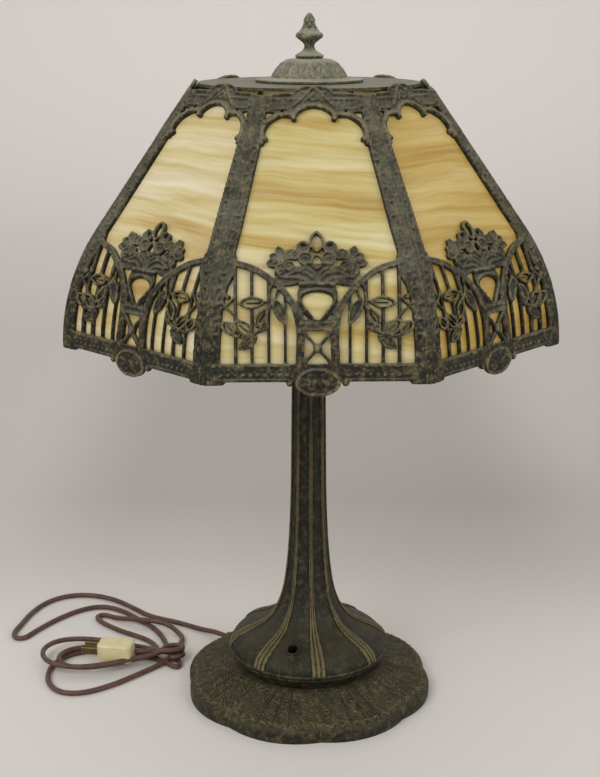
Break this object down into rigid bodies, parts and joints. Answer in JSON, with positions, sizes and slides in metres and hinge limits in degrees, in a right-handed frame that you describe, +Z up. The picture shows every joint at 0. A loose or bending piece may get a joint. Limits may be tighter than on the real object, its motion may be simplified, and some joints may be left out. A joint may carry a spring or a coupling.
{
  "type": "table lamp",
  "caption": "Table lamp with a bell shade of bent slag glass in pierced cast frames, a ribbed cast column on a lobed foot, and a coiled brown cord.",
  "frame": {"origin": "on the table under the middle of the foot", "axes": "+Z up the column, -Y to the front"},
  "size_m": [0.5082, 0.4108, 0.6144],
  "materials": {
    "foot_casting": "cast iron with a dark green-brown patina, dusty gold on the high spots",
    "frame_casting": "cast white metal with a dark verdigris and bronze patina, rubbed on its ridges",
    "crown_casting": "cast white metal, lighter grey-green patina with dust",
    "slag_glass": "bent caramel slag glass, opaque, with drawn-out cream and amber streaks",
    "aged_brass": "turned brass, aged dull",
    "plain_steel": "plain steel, dulled",
    "socket_brass": "drawn brass, semi-gloss",
    "socket_card": "grey-brown vulcanised card",
    "dark_phenolic": "moulded dark brown phenolic, glossy",
    "bulb_aluminium": "rolled aluminium screw base",
    "frosted_bulb": "frosted bulb glass",
    "cord_cover": "brown flexible cord cover, semi-matt",
    "plug_moulding": "ivory moulding, yellowed",
    "plug_brass": "brass blades, dull"
  },
  "bodies": {
    "stand": {"base_disc": "foot_casting", "cord_bushing": "aged_brass", "base_washer": "plain_steel", "base_nut": "plain_steel", "lamp_pipe": "plain_steel", "inner_lead": "cord_cover", "column": "foot_casting", "column_cap": "aged_brass", "cluster_body": "aged_brass", "riser_pipe": "plain_steel", "top_nipple": "plain_steel", "seat_coupling": "plain_steel", "socket_cap_1": "socket_brass", "socket_shell_1": "socket_brass", "socket_liner_1": "socket_card", "socket_core_1": "dark_phenolic", "screw_shell_1": "socket_brass", "socket_lead_1": "cord_cover", "socket_cap_2": "socket_brass", "socket_shell_2": "socket_brass", "socket_liner_2": "socket_card", "socket_core_2": "dark_phenolic", "screw_shell_2": "socket_brass", "socket_lead_2": "cord_cover", "mains_cord": "cord_cover", "cord_loop": "cord_cover", "cord_hank": "cord_cover", "plug_body": "plug_moulding", "plug_prongs": "plug_brass"},
    "seat": {"seat_washer": "plain_steel"},
    "shade": {"panel_frame_1": "frame_casting", "panel_frame_2": "frame_casting", "panel_frame_3": "frame_casting", "panel_frame_4": "frame_casting", "panel_frame_5": "frame_casting", "panel_frame_6": "frame_casting", "panel_frame_7": "frame_casting", "panel_frame_8": "frame_casting", "glass_panel_1": "slag_glass", "glass_panel_2": "slag_glass", "glass_panel_3": "slag_glass", "glass_panel_4": "slag_glass", "glass_panel_5": "slag_glass", "glass_panel_6": "slag_glass", "glass_panel_7": "slag_glass", "glass_panel_8": "slag_glass", "glass_clips": "plain_steel", "crown_plate": "crown_casting"},
    "cap": {"dome_cap": "crown_casting"},
    "finial": {"finial": "crown_casting"},
    "bulb_1": {"bulb_base_1": "bulb_aluminium", "bulb_glass_1": "frosted_bulb"},
    "bulb_2": {"bulb_base_2": "bulb_aluminium", "bulb_glass_2": "frosted_bulb"},
    "knob_1": {"switch_knob_1": "dark_phenolic"},
    "knob_2": {"switch_knob_2": "dark_phenolic"}
  },
  "joints": [
    {"name": "shade_turn", "type": "hinge", "parent": "stand", "child": "seat", "pos_m": [0, 0, 0.5558], "axis": [0, 0, 1], "continuous": true},
    {"name": "shade_lift", "type": "slide", "parent": "seat", "child": "shade", "axis": [0, 0, 1], "range_m": [0, 0.26]},
    {"name": "cap_lift", "type": "slide", "parent": "shade", "child": "cap", "axis": [0, 0, 1], "range_m": [0, 0.05]},
    {"name": "finial_turn", "type": "hinge", "parent": "cap", "child": "finial", "pos_m": [0, 0, 0.5777], "axis": [0, 0, 1], "continuous": true},
    {"name": "bulb_out_1", "type": "slide", "parent": "stand", "child": "bulb_1", "axis": [0.7071, 0, 0.7071], "range_m": [0, 0.026]},
    {"name": "bulb_out_2", "type": "slide", "parent": "stand", "child": "bulb_2", "axis": [-0.7071, 0, 0.7071], "range_m": [0, 0.026]},
    {"name": "knob_turn_1", "type": "hinge", "parent": "stand", "child": "knob_1", "pos_m": [0.03748, 0, 0.40948], "axis": [0.7071, 0, -0.7071], "continuous": true},
    {"name": "knob_turn_2", "type": "hinge", "parent": "stand", "child": "knob_2", "pos_m": [-0.03748, 0, 0.40948], "axis": [-0.7071, 0, -0.7071], "continuous": true}
  ]
}
